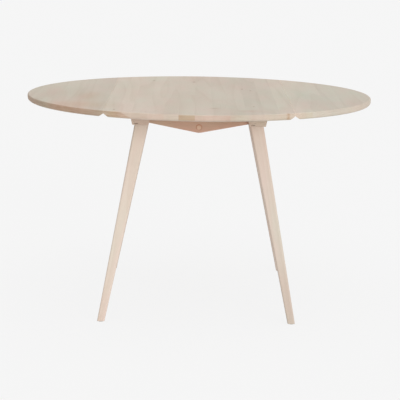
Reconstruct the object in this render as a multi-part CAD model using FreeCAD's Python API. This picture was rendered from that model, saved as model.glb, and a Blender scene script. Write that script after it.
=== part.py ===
import FreeCAD, Part
import math
import os

os.makedirs("parts", exist_ok=True)

# Oval top, cut into a fixed middle board and two drop leaves
top_length = 1210.0
top_width = 1085.0
top_thickness = 22.0
table_height = 735.0
upper_rim_radius = 6.0
lower_rim_radius = 10.0

# Leaf joints: a square land at the top, a V-groove below it
joint_offset = 310.0
joint_gap = 0.4
joint_land = 10.0
joint_arris = 0.25
bevel_width = 16.0

# Butt hinges, sunk in the V-groove
hinge_length = 50.0
hinge_end_margin = 109.0
hinges_per_leaf = 3
plate_thickness = 1.6
plate_margin = 1.2
knuckle_radius = 3.6
knuckle_count = 5
knuckle_gap = 0.4
hinge_pin_diameter = 4.0
hinge_screw_pitch = 26.0
hinge_screw_head = 5.4
hinge_screw_shank = 2.8
hinge_screw_length = 9.0
hinge_screw_share = 0.64

# Bearers under the middle board, tapered in section
bearer_inset = 115.0
bearer_length = 670.0
bearer_depth = 43.5
bearer_top_width = 74.0
bearer_bottom_width = 54.0
bearer_arris = 1.5
seam_from_side = 6.0
seam_width = 14.0
seam_height = 1.8
seam_depth = 9.0
seam_rise = 4.0
notch_width = 34.0
notch_cover = 16.0
bearer_screw_spacing = 220.0
bearer_screws_each = 3
bearer_screw_head = 9.0
bearer_screw_shank = 4.5
bearer_screw_grip = 20.0
bearer_screw_bite = 13.0

# Legs, splayed both ways and tapered
leg_top_width = 46.0
leg_top_depth = 34.0
leg_top_corner = 7.0
leg_top_inset = 3.0
leg_foot_width = 25.0
leg_foot_depth = 21.0
leg_foot_corner = 4.0
leg_foot_ease = 1.5
foot_offset_x = 323.0
foot_offset_y = 364.0
tenon_diameter = 22.0
tenon_length = 30.0

# Foot glides
glide_diameter = 16.0
glide_height = 2.0
glide_nail_diameter = 3.0
glide_nail_length = 14.0

# V-shaped aprons and the rod between them
apron_thickness = 22.0
apron_setback = 14.0
apron_end_depth = 37.0
apron_middle_depth = 69.0
apron_apex_radius = 40.0
apron_arris = 1.5
apron_dowel_diameter = 8.0
apron_dowel_in_bearer = 10.0
apron_dowel_in_apron = 22.0
apron_dowel_shares = (0.27, 0.70)
rod_diameter = 16.0
rod_rise = 17.5
rod_end_round = 1.5
rod_hole_ease = 1.0

# Sliding leaf stays: two pivoted arms that lap side by side
stay_offset = 130.0
stay_reach = 180.0
stay_fixed_drop = 33.0
stay_leaf_drop = 13.0
arm_width = 14.0
arm_thickness = 3.0
stud_past_middle = 8.0
stud_lead = 4.0
stay_gap = 0.4
slot_clearance = 0.3
pivot_diameter = 6.0
pivot_head_diameter = 10.0
pivot_head_height = 1.6
ear_radius = 9.0
ear_thickness = 3.0
flange_thickness = 2.4
flange_length = 36.0
flange_width = 24.0
flange_corner = 4.0
stay_screw_pitch = 20.0
stay_screw_head = 7.0
stay_screw_shank = 3.5
stay_screw_length = 14.0

# Fits, limits of travel and cuts
leaf_fold_angle = 90.0
running_clearance = 0.05
glue_clearance = 0.05
overrun = 30.0
full_turn_angle = 360.0
right_angle = 90.0

sides = (("left", -1), ("right", 1))
ends = (("front", -1), ("rear", 1))
hinge_places = ("front", "middle", "rear")

# Levels and places that follow from the sizes above
underside = table_height - top_thickness
apex_level = table_height - joint_land
bevel_rise = top_thickness - joint_land
half_joint = top_width / 2 * math.sqrt(1 - (2 * joint_offset / top_length) ** 2)
end_hinge_y = half_joint - hinge_end_margin - hinge_length / 2
bevel_length = math.hypot(bevel_width, bevel_rise)
bevel_sine = bevel_width / bevel_length
bevel_cosine = bevel_rise / bevel_length
bevel_tilt = math.degrees(math.asin(bevel_cosine))
pin_to_bevel = knuckle_radius + knuckle_gap
pin_drop = (pin_to_bevel - joint_gap / 2 * bevel_cosine) / bevel_sine
pin_level = apex_level - pin_drop
plate_start = pin_drop * bevel_cosine
plate_width = bevel_length - plate_start - plate_margin
knuckle_length = (hinge_length - (knuckle_count - 1) * knuckle_gap) / knuckle_count

bearer_x = joint_offset - bearer_inset
bearer_level = underside - bearer_depth
leg_top_y = (bearer_length - leg_top_depth) / 2
apron_front = bearer_length / 2 - apron_setback
rod_level = underside - apron_middle_depth + rod_rise

stay_fixed_x = joint_offset - stay_reach
stay_fixed_level = underside - stay_fixed_drop
stay_leaf_level = underside - stay_leaf_drop
stay_radius = math.hypot(stay_reach, pin_level - stay_fixed_level)
stay_leaf_x = joint_offset + math.sqrt(stay_radius ** 2 - (pin_level - stay_leaf_level) ** 2)
stay_open = math.hypot(stay_leaf_x - stay_fixed_x, stay_leaf_level - stay_fixed_level)
stay_tilt = math.degrees(math.asin((stay_leaf_level - stay_fixed_level) / stay_open))
stay_open_angle = 2 * math.degrees(math.asin(stay_open / (2 * stay_radius)))
stay_closed = 2 * stay_radius * math.sin(math.radians((stay_open_angle - leaf_fold_angle) / 2))
stud_distance = stay_open / 2 + stud_past_middle
arm_length = stud_distance + stud_lead


def vec(x=0, y=0, z=0):
    return FreeCAD.Vector(x, y, z)


def mirrored(shape, side, end=-1):
    """Copy of a piece made for the right front corner, at another corner."""
    if side < 0:
        shape = shape.mirror(vec(), vec(1, 0, 0))
    if end > 0:
        shape = shape.mirror(vec(), vec(0, 1, 0))
    return shape


def placed(shape, point, direction):
    """Copy of a piece made up the Z axis, moved to a point and turned to a direction."""
    copy = shape.copy()
    copy.Placement = FreeCAD.Placement(point, FreeCAD.Rotation(vec(0, 0, 1), direction))
    return copy


def prism(outline, start, depth):
    """Straight piece along Y whose section is an outline of (x, z) points."""
    points = [vec(x, start, z) for x, z in outline]
    face = Part.Face(Part.makePolygon(points + points[:1]))
    return face.extrude(vec(0, depth, 0))


def rounded_outline(centre, width, depth, corner):
    """Level rectangle with rounded corners, as a closed wire."""
    edges = []
    arcs = []
    for i, (sx, sy) in enumerate(((1, 1), (-1, 1), (-1, -1), (1, -1))):
        pivot = centre + vec(sx * (width / 2 - corner), sy * (depth / 2 - corner))
        first = i * right_angle
        points = []
        for angle in (first, first + right_angle / 2, first + right_angle):
            turn = math.radians(angle)
            points.append(pivot + vec(corner * math.cos(turn), corner * math.sin(turn)))
        arcs.append(points)
    for i, points in enumerate(arcs):
        following = arcs[(i + 1) % len(arcs)]
        edges.append(Part.Arc(*points).toShape())
        edges.append(Part.LineSegment(points[-1], following[0]).toShape())
    return Part.Wire(edges)


def turned(outline):
    """Solid of revolution about Z from an outline of (radius, height) points."""
    points = [vec(radius, 0, height) for radius, height in outline]
    face = Part.Face(Part.makePolygon(points + points[:1]))
    return face.revolve(vec(), vec(0, 0, 1), full_turn_angle)


def wood_screw(head, shank, length):
    """Countersunk screw that points up Z from the flat of its head."""
    sink = (head - shank) / 2
    return turned([(0, 0), (head / 2, 0), (shank / 2, sink), (shank / 2, length), (0, length)])


def screw_hole(head, shank, length):
    """Countersunk hole for the same screw, open above its head."""
    sink = (head - shank) / 2
    wide = head / 2 + glue_clearance
    narrow = shank / 2 + glue_clearance
    depth = length + glue_clearance
    return turned([(0, -overrun), (wide, -overrun), (wide, 0), (narrow, sink), (narrow, depth), (0, depth)])


def cut_all(shape, tools):
    """Piece less all its cutters, as one solid."""
    return shape.cut(Part.makeCompound(tools)) if tools else shape


def save(name, shapes):
    """Write one piece, or a group of like pieces, under its name."""
    shape = shapes[0] if len(shapes) == 1 else Part.makeCompound(shapes)
    solids = shape.Solids
    print(name, len(solids), all(solid.isValid() for solid in solids), round(shape.Volume))
    shape.exportStep(os.path.join("parts", name + ".step"))


def oval_top():
    """Whole oval board with its rim rounded above and below."""
    centre = vec(0, 0, underside)
    along, across = vec(top_length / 2, 0, 0), vec(0, top_width / 2, 0)
    long_half, short_half = (along, across) if top_length > top_width else (across, -along)
    oval = Part.Ellipse(centre + long_half, centre + short_half, centre).toShape()
    board = Part.Face(Part.Wire([oval])).extrude(vec(0, 0, top_thickness))
    middle = underside + top_thickness / 2
    upper = [edge for edge in board.Edges if edge.BoundBox.ZMin > middle]
    board = board.makeFillet(upper_rim_radius, upper)
    lower = [edge for edge in board.Edges if edge.BoundBox.ZMax < middle]
    return board.makeFillet(lower_rim_radius, lower)


def joint_flank():
    """Points (distance past the joint, level) of a board's edge, from above the top to below it."""
    face = joint_gap / 2
    past = overrun / bevel_rise
    return [(face + joint_arris + overrun, table_height + overrun), (face, table_height - joint_arris),
            (face, apex_level), (face + bevel_width * (1 + past), underside - overrun)]


def centre_board(board):
    """Middle board, with a land and a bevel on both long sides."""
    right = [(joint_offset - away, level) for away, level in joint_flank()]
    left = [(-x, level) for x, level in reversed(right)]
    return board.common(prism(right + left, -top_width, 2 * top_width))


def right_leaf_board(board):
    """Right drop leaf, with the matching land and bevel."""
    inner = [(joint_offset + away, level) for away, level in joint_flank()]
    outer = [(top_length, underside - overrun), (top_length, table_height + overrun)]
    return board.common(prism(inner + outer, -top_width, 2 * top_width))


def knuckle_spans(own):
    """Start and length along the pin of every second knuckle, for one of the two plates."""
    step = knuckle_length + knuckle_gap
    first = 0 if own == "fixed" else 1
    return [(-hinge_length / 2 + i * step, knuckle_length) for i in range(first, knuckle_count, 2)]


def hinge_plate(own):
    """Plate on the leaf's bevel with its knuckles, about a pin along Y through the origin."""
    other = "leaf" if own == "fixed" else "fixed"
    plate = Part.makeBox(plate_width, hinge_length, plate_thickness,
                         vec(0, -hinge_length / 2, pin_to_bevel - plate_thickness))
    rooms = []
    for start, length in knuckle_spans(other):
        rooms.append(Part.makeCylinder(pin_to_bevel, length + 2 * knuckle_gap,
                                       vec(0, start - knuckle_gap, 0), vec(0, 1, 0)))
    plate = cut_all(plate, rooms)
    knuckles = [Part.makeCylinder(knuckle_radius, length, vec(0, start, 0), vec(0, 1, 0))
                for start, length in knuckle_spans(own)]
    plate = plate.multiFuse(knuckles)
    bore = Part.makeCylinder(hinge_pin_diameter / 2 + running_clearance, hinge_length + 2 * overrun,
                             vec(0, -hinge_length / 2 - overrun, 0), vec(0, 1, 0))
    return plate.cut(bore)


def hinge_screw_points():
    """Places of the screw heads on the inner face of a plate, in the plate's own frame."""
    across = plate_width * hinge_screw_share
    level = pin_to_bevel - plate_thickness
    return [vec(across, sign * hinge_screw_pitch / 2, level) for sign in (-1, 1)]


def on_bevel(shape, own, y):
    """Piece made in a plate's own frame, laid on the right-hand joint at a place along it."""
    shape = shape.copy()
    shape.rotate(vec(), vec(0, 1, 0), bevel_tilt)
    if own == "fixed":
        shape = shape.mirror(vec(), vec(1, 0, 0))
    shape.translate(vec(joint_offset, y, pin_level))
    return shape


def hinge_pin():
    """Hinge pin along Y through the origin, with eased ends."""
    pin = Part.makeCylinder(hinge_pin_diameter / 2, hinge_length, vec(0, -hinge_length / 2, 0), vec(0, 1, 0))
    rims = [edge for edge in pin.Edges if edge.Closed and isinstance(edge.Curve, Part.Circle)]
    return pin.makeChamfer(hinge_pin_diameter / 2 - hinge_pin_diameter / 3, rims)


def hinge_ys():
    """Places of the hinges along a joint, from front to rear."""
    middle = (hinges_per_leaf - 1) / 2
    return [(i / middle - 1) * end_hinge_y for i in range(hinges_per_leaf)]


def bearer_half(level):
    """Half width of a bearer at a level."""
    share = (level - bearer_level) / bearer_depth
    return (bearer_bottom_width + (bearer_top_width - bearer_bottom_width) * share) / 2


def leg_axis(side, end):
    """Top centre of a leg, the centre of its foot and the direction up its axis."""
    top = vec(side * (bearer_x - leg_top_inset), end * leg_top_y, bearer_level)
    foot = vec(side * foot_offset_x, end * foot_offset_y, glide_height)
    return top, foot, (top - foot).normalize()


def leg(side, end):
    """Tapered leg with a round tenon and a hole for the glide."""
    top, foot, up = leg_axis(side, end)
    head = rounded_outline(top, leg_top_width, leg_top_depth, leg_top_corner)
    base = rounded_outline(foot + up * leg_foot_ease, leg_foot_width, leg_foot_depth, leg_foot_corner)
    sole = rounded_outline(foot, leg_foot_width - 2 * leg_foot_ease, leg_foot_depth - 2 * leg_foot_ease,
                           leg_foot_corner - leg_foot_ease)
    shaft = Part.makeLoft([sole, base, head], True, True)
    root = top - up * tenon_length
    tenon = Part.makeCylinder(tenon_diameter / 2, 2 * tenon_length, root, up)
    body = shaft.fuse(tenon)
    nail_radius = glide_nail_diameter / 2 + glue_clearance
    return body.cut(Part.makeCylinder(nail_radius, glide_nail_length + glue_clearance, foot))


def foot_glide(side, end):
    """Plastic disc under a foot, with its nail."""
    radius = glide_diameter / 2
    ease = glide_height / 2
    nail = glide_nail_diameter / 2
    top = glide_height + glide_nail_length
    outline = [(0, 0), (radius - ease, 0), (radius, ease), (radius, glide_height),
               (nail, glide_height), (nail, top), (0, top)]
    glide = turned(outline)
    glide.translate(vec(side * foot_offset_x, end * foot_offset_y, 0))
    return glide


def tenon_hole(side, end):
    """Round socket in a bearer for a leg's tenon."""
    top, _, up = leg_axis(side, end)
    root = top - up * tenon_length
    radius = tenon_diameter / 2 + glue_clearance
    return Part.makeCylinder(radius, 2 * tenon_length + glue_clearance, root, up)


def dowel_places(end):
    """Start of each dowel at the right-hand end of an apron, inside the apron."""
    y = end * (apron_front - apron_thickness / 2)
    places = []
    for share in apron_dowel_shares:
        level = underside - apron_end_depth * share
        face = bearer_x - bearer_half(level)
        places.append(vec(face - apron_dowel_in_apron, y, level))
    return places


def apron_dowel(place, slack):
    """Dowel along X from a place in the apron into the bearer."""
    radius = apron_dowel_diameter / 2 + slack
    length = apron_dowel_in_apron + apron_dowel_in_bearer + 2 * slack
    return Part.makeCylinder(radius, length, place - vec(slack, 0, 0), vec(1, 0, 0))


def bearer_screw_points():
    """Places of the screw heads inside the right-hand bearer."""
    middle = (bearer_screws_each - 1) / 2
    level = underside - bearer_screw_grip
    return [vec(bearer_x, (i - middle) * bearer_screw_spacing, level) for i in range(bearer_screws_each)]


def bearer_seam(end):
    """Cutter for the short open seam low on one end of the right-hand bearer."""
    level = bearer_level + seam_rise
    half = bearer_half(level)
    seam = Part.makeBox(seam_width, seam_depth + overrun, seam_height,
                        vec(seam_from_side - half, -bearer_length / 2 - overrun, level))
    seam = mirrored(seam, -end, end)
    seam.translate(vec(bearer_x, 0, 0))
    return seam


def bearer():
    """Right-hand bearer with its sockets, seams, counterbores, dowel holes and stay notches."""
    low = bearer_bottom_width / 2
    high = bearer_top_width / 2
    section = [(bearer_x - low, bearer_level), (bearer_x + low, bearer_level),
               (bearer_x + high, underside), (bearer_x - high, underside)]
    rail = prism(section, -bearer_length / 2, bearer_length)
    middle = bearer_level + bearer_depth / 2
    rail = rail.makeFillet(bearer_arris, [edge for edge in rail.Edges if edge.BoundBox.ZMax < middle])
    tools = []
    for name, end in ends:
        tools += [tenon_hole(1, end), bearer_seam(end)]
        tools += [apron_dowel(place, glue_clearance) for place in dowel_places(end)]
        tools.append(Part.makeBox(bearer_top_width, notch_width, bearer_depth - notch_cover + overrun,
                                  vec(bearer_x - high, end * stay_offset - notch_width / 2,
                                      bearer_level - overrun)))
    for point in bearer_screw_points():
        tools.append(placed(screw_hole(bearer_screw_head, bearer_screw_shank,
                                       bearer_screw_grip + bearer_screw_bite), point, vec(0, 0, 1)))
    return cut_all(rail, tools)


def apron(end):
    """V-shaped brace between the bearers, with a rounded point and a hole for the rod."""
    half = bearer_x
    slope = (apron_middle_depth - apron_end_depth) / (bearer_x - bearer_half(underside - apron_end_depth))
    angle = math.atan(slope)
    run = apron_apex_radius * math.sin(angle)
    lift = run * slope
    bottom = underside - apron_middle_depth
    edge_level = bottom - lift / 2 + half * slope
    near = vec(run, 0, bottom + lift / 2)
    far = vec(half, 0, edge_level)
    corner = vec(half, 0, underside)
    flip = [vec(-point.x, point.y, point.z) for point in (near, far, corner)]
    edges = [Part.Arc(flip[0], vec(0, 0, bottom), near).toShape(),
             Part.LineSegment(near, far).toShape(), Part.LineSegment(far, corner).toShape(),
             Part.LineSegment(corner, flip[2]).toShape(), Part.LineSegment(flip[2], flip[1]).toShape(),
             Part.LineSegment(flip[1], flip[0]).toShape()]
    board = Part.Face(Part.Wire(edges)).extrude(vec(0, apron_thickness, 0))
    below = edge_level + apron_arris
    lower = [edge for edge in board.Edges
             if edge.BoundBox.YLength < apron_thickness / 2 and edge.BoundBox.ZMax < below]
    board = board.makeFillet(apron_arris, lower)
    board.translate(vec(0, -apron_front, 0))
    board = mirrored(board, 1, end)
    low_level = underside - apron_middle_depth
    inner_face = [(bearer_x - bearer_half(level), level) for level in (low_level, underside)]
    beyond = [(2 * bearer_x, underside), (2 * bearer_x, low_level)]
    bore = rod_diameter / 2 + glue_clearance
    eased = Part.makeCone(bore + rod_hole_ease, bore, rod_hole_ease,
                          vec(0, -apron_front, rod_level), vec(0, 1, 0))
    tools = [Part.makeCylinder(bore, 2 * bearer_length, vec(0, -bearer_length, rod_level), vec(0, 1, 0)),
             mirrored(eased, 1, end)]
    for name, side in sides:
        tools.append(mirrored(prism(inner_face + beyond, -bearer_length, 2 * bearer_length), side))
        tools += [mirrored(apron_dowel(place, glue_clearance), side) for place in dowel_places(end)]
    return cut_all(board, tools)


def rod():
    """Round rod between the aprons, its ends eased and flush with their outer faces."""
    length = 2 * apron_front
    bar = Part.makeCylinder(rod_diameter / 2, length, vec(0, -apron_front, rod_level), vec(0, 1, 0))
    rims = [edge for edge in bar.Edges if isinstance(edge.Curve, Part.Circle)]
    return bar.makeFillet(rod_end_round, rims)


def tangent_point(corner, radius):
    """Point on a circle about the origin where the line from an upper corner touches its side."""
    distance = math.hypot(corner[0], corner[1])
    angle = math.atan2(corner[1], corner[0]) - math.acos(radius / distance)
    return radius * math.cos(angle), radius * math.sin(angle)


def stay_bracket(drop):
    """Bent bracket: an ear about a pivot at the origin, hung from a flange that runs to +Y."""
    base = drop - flange_thickness
    corner = (flange_length / 2, base)
    x, z = tangent_point(corner, ear_radius)
    edges = [Part.LineSegment(vec(-corner[0], 0, base), vec(-x, 0, z)).toShape(),
             Part.Arc(vec(-x, 0, z), vec(0, 0, -ear_radius), vec(x, 0, z)).toShape(),
             Part.LineSegment(vec(x, 0, z), vec(corner[0], 0, base)).toShape(),
             Part.LineSegment(vec(corner[0], 0, base), vec(-corner[0], 0, base)).toShape()]
    ear = Part.Face(Part.Wire(edges)).extrude(vec(0, ear_thickness, 0))
    flange = Part.makeBox(flange_length, flange_width, flange_thickness, vec(-flange_length / 2, 0, base))
    corners = [edge for edge in flange.Edges
               if edge.BoundBox.YMin > flange_width / 2 and edge.BoundBox.ZLength > flange_thickness / 2]
    flange = flange.makeFillet(flange_corner, corners)
    bore = Part.makeCylinder(pivot_diameter / 2 + running_clearance, ear_thickness + 2 * overrun,
                             vec(0, -overrun, 0), vec(0, 1, 0))
    bracket = ear.fuse(flange).cut(bore).removeSplitter()
    return cut_all(bracket, [placed(screw_hole(stay_screw_head, stay_screw_shank, stay_screw_length),
                                    point, vec(0, 0, 1)) for point in flange_screw_points(drop)])


def flange_screw_points(drop):
    """Places of the screw heads on the lower face of a bracket's flange."""
    y = (flange_width + ear_thickness) / 2
    return [vec(sign * stay_screw_pitch / 2, y, drop - flange_thickness) for sign in (-1, 1)]


def arm_bar(length):
    """Flat bar with round ends along +X from a pivot at the origin, its thickness along +Y."""
    half = arm_width / 2
    edges = [Part.LineSegment(vec(0, 0, half), vec(length, 0, half)).toShape(),
             Part.Arc(vec(length, 0, half), vec(length + half, 0, 0), vec(length, 0, -half)).toShape(),
             Part.LineSegment(vec(length, 0, -half), vec(0, 0, -half)).toShape(),
             Part.Arc(vec(0, 0, -half), vec(-half, 0, 0), vec(0, 0, half)).toShape()]
    return Part.Face(Part.Wire(edges)).extrude(vec(0, arm_thickness, 0))


def cross_hole(x, radius):
    """Cutter for a round hole through an arm."""
    return Part.makeCylinder(radius, arm_thickness + 2 * overrun, vec(x, -overrun, 0), vec(0, 1, 0))


def inner_arm():
    """Arm that turns on the fixed bracket and carries the stud."""
    hole = pivot_diameter / 2 + running_clearance
    return cut_all(arm_bar(arm_length), [cross_hole(0, hole), cross_hole(stud_distance, hole)])


def outer_arm():
    """Slotted arm that turns on the leaf's bracket."""
    half = pivot_diameter / 2 + slot_clearance
    first = stay_closed - stud_distance
    last = stay_open - stud_distance
    run = Part.makeBox(last - first, arm_thickness + 2 * overrun, 2 * half, vec(first, -overrun, -half))
    slot = run.multiFuse([cross_hole(first, half), cross_hole(last, half)]).removeSplitter()
    return cut_all(arm_bar(arm_length), [cross_hole(0, pivot_diameter / 2 + running_clearance), slot])


def headed_pin(grip):
    """Pin along +Y with a round head at each end, starting under its first head at the origin."""
    head = pivot_head_diameter / 2
    shank = pivot_diameter / 2
    far = grip + pivot_head_height
    outline = [(0, -pivot_head_height), (head, -pivot_head_height), (head, 0), (shank, 0),
               (shank, grip), (head, grip), (head, far), (0, far)]
    return placed(turned(outline), vec(), vec(0, 1, 0))


# The stack of a front stay along Y, from the leaf's ear to the fixed ear
arms_middle = -stay_offset
inner_start = arms_middle + stay_gap / 2
fixed_ear_start = inner_start + arm_thickness + stay_gap
outer_start = arms_middle - stay_gap / 2 - arm_thickness
leaf_ear_start = outer_start - stay_gap - ear_thickness
fixed_pivot = vec(stay_fixed_x, 0, stay_fixed_level)
leaf_pivot = vec(stay_leaf_x, 0, stay_leaf_level)


def moved(shape, pivot, y, tilt=0):
    """Copy of a piece made about a pivot at the origin, tilted and moved to its pivot."""
    shape = shape.copy()
    shape.rotate(vec(), vec(0, 1, 0), -tilt)
    shape.translate(pivot + vec(0, y, 0))
    return shape


def stay_pieces():
    """Pieces of the right front stay by name, with the cutters of its screws."""
    leaf_bracket = stay_bracket(stay_leaf_drop).mirror(vec(), vec(0, 1, 0))
    outer = outer_arm().mirror(vec(), vec(1, 0, 0))
    pin = headed_pin(ear_thickness + arm_thickness + 2 * stay_gap)
    stud = headed_pin(2 * arm_thickness + 2 * stay_gap)
    stud_place = vec(stud_distance, 0, 0)
    stud.translate(stud_place)
    pieces = {
        "bracket_fixed": moved(stay_bracket(stay_fixed_drop), fixed_pivot, fixed_ear_start),
        "bracket_leaf": moved(leaf_bracket, leaf_pivot, leaf_ear_start + ear_thickness),
        "arm_inner": moved(inner_arm(), fixed_pivot, inner_start, stay_tilt),
        "arm_outer": moved(outer, leaf_pivot, outer_start, stay_tilt),
        "stud": moved(stud, fixed_pivot, outer_start - stay_gap, stay_tilt),
        "rivet_fixed": moved(pin, fixed_pivot, inner_start - stay_gap),
        "rivet_leaf": moved(pin, leaf_pivot, leaf_ear_start),
    }
    screw = wood_screw(stay_screw_head, stay_screw_shank, stay_screw_length)
    hole = screw_hole(stay_screw_head, stay_screw_shank, stay_screw_length)
    up = vec(0, 0, 1)
    fixed = [fixed_pivot + vec(0, fixed_ear_start) + point for point in flange_screw_points(stay_fixed_drop)]
    leaf = [leaf_pivot + vec(point.x, leaf_ear_start + ear_thickness - point.y, point.z)
            for point in flange_screw_points(stay_leaf_drop)]
    pieces["screws_fixed"] = [placed(screw, point, up) for point in fixed]
    pieces["holes_fixed"] = [placed(hole, point, up) for point in fixed]
    pieces["screws_leaf"] = [placed(screw, point, up) for point in leaf]
    pieces["holes_leaf"] = [placed(hole, point, up) for point in leaf]
    return pieces


def hinge_parts(own):
    """Plate with its screw holes, its screws and their cutters, for one side of a hinge."""
    up = vec(0, 0, 1)
    hole = screw_hole(hinge_screw_head, hinge_screw_shank, hinge_screw_length)
    screw = wood_screw(hinge_screw_head, hinge_screw_shank, hinge_screw_length)
    holes = [placed(hole, point, up) for point in hinge_screw_points()]
    screws = [placed(screw, point, up) for point in hinge_screw_points()]
    return cut_all(hinge_plate(own), holes), screws, holes


def build():
    """Make every piece and write it."""
    stay = stay_pieces()
    fixed_plate, fixed_screws, fixed_holes = hinge_parts("fixed")
    leaf_plate, leaf_screws, leaf_holes = hinge_parts("leaf")
    board = oval_top()

    panel_tools = []
    hinge_screw_group = []
    for name, side in sides:
        for y in hinge_ys():
            panel_tools += [mirrored(on_bevel(hole, "fixed", y), side) for hole in fixed_holes]
            hinge_screw_group += [mirrored(on_bevel(screw, "fixed", y), side) for screw in fixed_screws]
        for end_name, end in ends:
            panel_tools += [mirrored(hole, side, end) for hole in stay["holes_fixed"]]
    bearer_screw = wood_screw(bearer_screw_head, bearer_screw_shank, bearer_screw_grip + bearer_screw_bite)
    bearer_hole = screw_hole(bearer_screw_head, bearer_screw_shank, bearer_screw_grip + bearer_screw_bite)
    bearer_screw_group = []
    for name, side in sides:
        for point in bearer_screw_points():
            bearer_screw_group.append(mirrored(placed(bearer_screw, point, vec(0, 0, 1)), side))
            panel_tools.append(mirrored(placed(bearer_hole, point, vec(0, 0, 1)), side))
    save("centre_panel", [cut_all(centre_board(board), panel_tools)])
    save("bearer_screws", bearer_screw_group)
    save("hinge_fixed_screws", hinge_screw_group)

    leaf_tools = []
    leaf_screw_group = []
    for y in hinge_ys():
        leaf_tools += [on_bevel(hole, "leaf", y) for hole in leaf_holes]
        leaf_screw_group += [on_bevel(screw, "leaf", y) for screw in leaf_screws]
    for end_name, end in ends:
        leaf_tools += [mirrored(hole, 1, end) for hole in stay["holes_leaf"]]
        leaf_screw_group += [mirrored(screw, 1, end) for screw in stay["screws_leaf"]]
    leaf = cut_all(right_leaf_board(board), leaf_tools)

    rail = bearer()
    for name, side in sides:
        save("leaf_" + name, [mirrored(leaf, side)])
        save("leaf_" + name + "_screws", [mirrored(screw, side) for screw in leaf_screw_group])
        save("bearer_" + name, [mirrored(rail, side, -side)])
        for place, y in zip(hinge_places, hinge_ys()):
            save("hinge_fixed_" + name + "_" + place, [mirrored(on_bevel(fixed_plate, "fixed", y), side)])
            save("hinge_leaf_" + name + "_" + place, [mirrored(on_bevel(leaf_plate, "leaf", y), side)])
        pins = []
        for y in hinge_ys():
            pin = hinge_pin()
            pin.translate(vec(joint_offset, y, pin_level))
            pins.append(mirrored(pin, side))
        save("hinge_pins_" + name, pins)
        save("stay_rivets_" + name, [mirrored(stay["rivet_leaf"], side, end) for end_name, end in ends])
        for end_name, end in ends:
            corner = "_" + end_name + "_" + name
            save("leg" + corner, [leg(side, end)])
            for piece in ("bracket_fixed", "bracket_leaf", "arm_inner", "arm_outer", "stud"):
                save("stay_" + piece + corner, [mirrored(stay[piece], side, end)])

    every_corner = [(side, end) for name, side in sides for end_name, end in ends]
    save("foot_glides", [foot_glide(side, end) for side, end in every_corner])
    save("stay_rivets_fixed", [mirrored(stay["rivet_fixed"], side, end) for side, end in every_corner])
    save("stay_screws_fixed", [mirrored(screw, side, end) for side, end in every_corner
                               for screw in stay["screws_fixed"]])
    save("apron_dowels", [mirrored(apron_dowel(place, 0), side) for name, side in sides
                          for end_name, end in ends for place in dowel_places(end)])
    for end_name, end in ends:
        save("apron_" + end_name, [apron(end)])
    save("stretcher_rod", [rod()])


build()
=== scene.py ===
import logging
import math
from dataclasses import asdict, dataclass
from enum import Enum
from functools import cached_property
from typing import Any, Iterable, Mapping, Optional, Union

import bmesh
import bpy
import numpy as np
from mathutils import Matrix, Vector


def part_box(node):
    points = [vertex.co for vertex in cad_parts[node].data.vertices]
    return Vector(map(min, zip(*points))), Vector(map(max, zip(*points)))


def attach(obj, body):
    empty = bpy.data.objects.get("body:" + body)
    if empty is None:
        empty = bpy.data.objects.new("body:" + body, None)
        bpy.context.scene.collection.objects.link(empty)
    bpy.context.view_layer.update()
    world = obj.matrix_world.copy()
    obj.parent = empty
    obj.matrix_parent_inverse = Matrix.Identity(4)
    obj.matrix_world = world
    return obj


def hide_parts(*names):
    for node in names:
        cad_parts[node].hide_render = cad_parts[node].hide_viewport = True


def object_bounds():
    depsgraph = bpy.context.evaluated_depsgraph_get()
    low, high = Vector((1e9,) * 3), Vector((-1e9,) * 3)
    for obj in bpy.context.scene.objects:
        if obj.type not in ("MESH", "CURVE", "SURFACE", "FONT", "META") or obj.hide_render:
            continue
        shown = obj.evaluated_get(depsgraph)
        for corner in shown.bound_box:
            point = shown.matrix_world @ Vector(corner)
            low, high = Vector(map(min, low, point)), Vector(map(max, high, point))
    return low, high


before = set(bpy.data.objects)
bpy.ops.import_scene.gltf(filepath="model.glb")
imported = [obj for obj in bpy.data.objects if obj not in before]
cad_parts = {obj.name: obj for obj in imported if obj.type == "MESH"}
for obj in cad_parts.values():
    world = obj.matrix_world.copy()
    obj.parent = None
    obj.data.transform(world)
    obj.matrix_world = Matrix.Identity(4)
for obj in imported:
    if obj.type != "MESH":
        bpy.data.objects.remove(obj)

CAD_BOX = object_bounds()
LOG = logging.getLogger("butterfly_table")

# Points of a CAD mesh nearer than this, in metres, are one point.
MERGE_GAP = 1e-5
# Degrees between two faces from which their edge shows sharp on a fastener.
SHARP_ANGLE = 32.0
# Share of Z in a fastener's axis from which it counts as upright.
UPRIGHT_SHARE = 0.99
# Scale, in metres, that leaves the height out of a distance.
ANY_HEIGHT = 1000.0

SIDES = ("left", "right")
ENDS = ("front", "rear")
PLACES = ("front", "middle", "rear")
CORNERS = tuple(f"{end}_{side}" for end in ENDS for side in SIDES)

Rgb = tuple[int, int, int]
Rgba = tuple[float, float, float, float]
Pair = tuple[float, float]
Triple = tuple[float, float, float]
Key = Union[int, str]


def linear(colour: Rgb, tone: float = 1.0) -> Rgba:
    """Turn an sRGB colour into scene-linear values.

    Args:
        colour: Red, green and blue from 0 to 255.
        tone: Factor on the linear values.

    Returns:
        Linear red, green, blue and an alpha of 1.
    """
    parts = []
    for part in colour:
        share = part / 255
        parts.append(tone * (share / 12.92 if share <= 0.04045 else ((share + 0.055) / 1.055) ** 2.4))
    return (parts[0], parts[1], parts[2], 1.0)


def grey(level: float) -> Rgba:
    """Neutral linear colour of one level."""
    return (level, level, level, 1.0)


def darker(colour: Rgb, share: float) -> Rgb:
    """Colour with each part brought down to a share of it."""
    red, green, blue = (int(part * share) for part in colour)
    return (red, green, blue)


@dataclass(frozen=True)
class Noise:
    """Soft noise: patches per metre along each axis, number of finer layers and their strength."""

    scale: Triple
    detail: float = 2.0
    roughness: float = 0.5


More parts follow.
